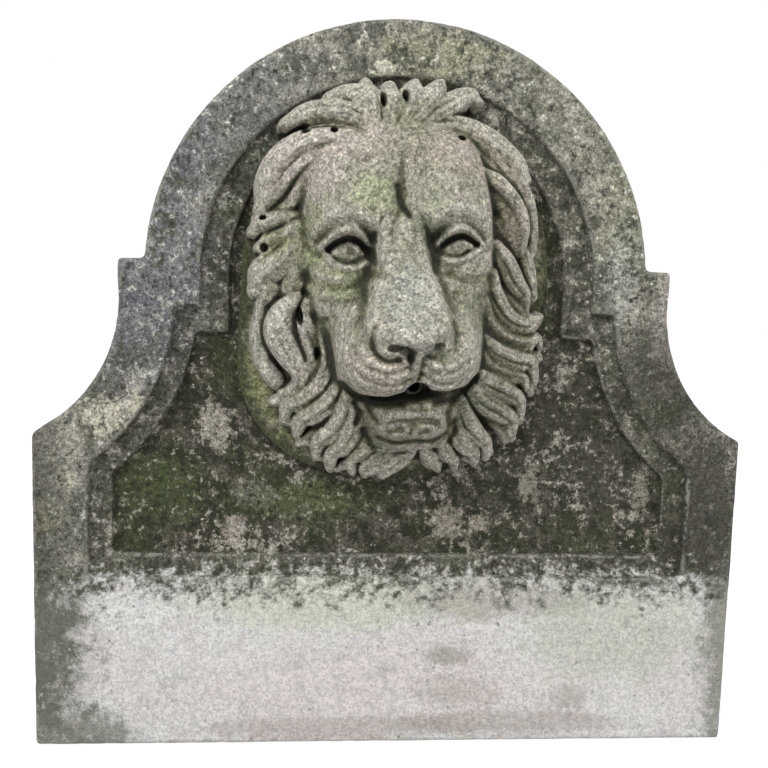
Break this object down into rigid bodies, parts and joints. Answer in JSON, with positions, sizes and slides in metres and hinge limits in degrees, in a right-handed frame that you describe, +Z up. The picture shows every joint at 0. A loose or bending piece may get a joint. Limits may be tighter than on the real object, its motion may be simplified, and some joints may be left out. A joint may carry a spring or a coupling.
{
  "type": "wall fountain",
  "caption": "Shouldered and arched stone wall fountain with a sunk panel and a carved lion mask whose mouth hides a copper spout fed through a chase in the back.",
  "frame": {"origin": "centre of the slab's base, halfway through its thickness", "axes": "+Z up to the top of the arch, the mask looks along -Y, and the flat back that goes to the wall faces +Y"},
  "size_m": [0.9, 0.3043, 0.9159],
  "materials": {
    "slab_stone": "matte",
    "mortar": "matte",
    "mask_stone": "matte",
    "stainless": "satin",
    "resin": "satin",
    "copper": "satin",
    "packing": "matte",
    "brass": "satin",
    "olive_brass": "satin",
    "clip_copper": "satin",
    "plug_plastic": "matte"
  },
  "bodies": {
    "root": {"back_slab": "slab_stone", "mortar_bed": "mortar", "lion_head": "mask_stone", "head_dowels": "stainless", "dowel_resin": "resin", "spout_pipe": "copper", "pipe_packing": "packing", "elbow_body": "brass", "inlet_adapter": "brass", "compression_nuts": "brass", "olives": "olive_brass", "supply_pipe": "copper", "pipe_clips": "clip_copper", "clip_screws": "brass", "clip_plugs": "plug_plastic", "anchor_sockets": "stainless", "socket_resin": "resin"}
  },
  "joints": []
}
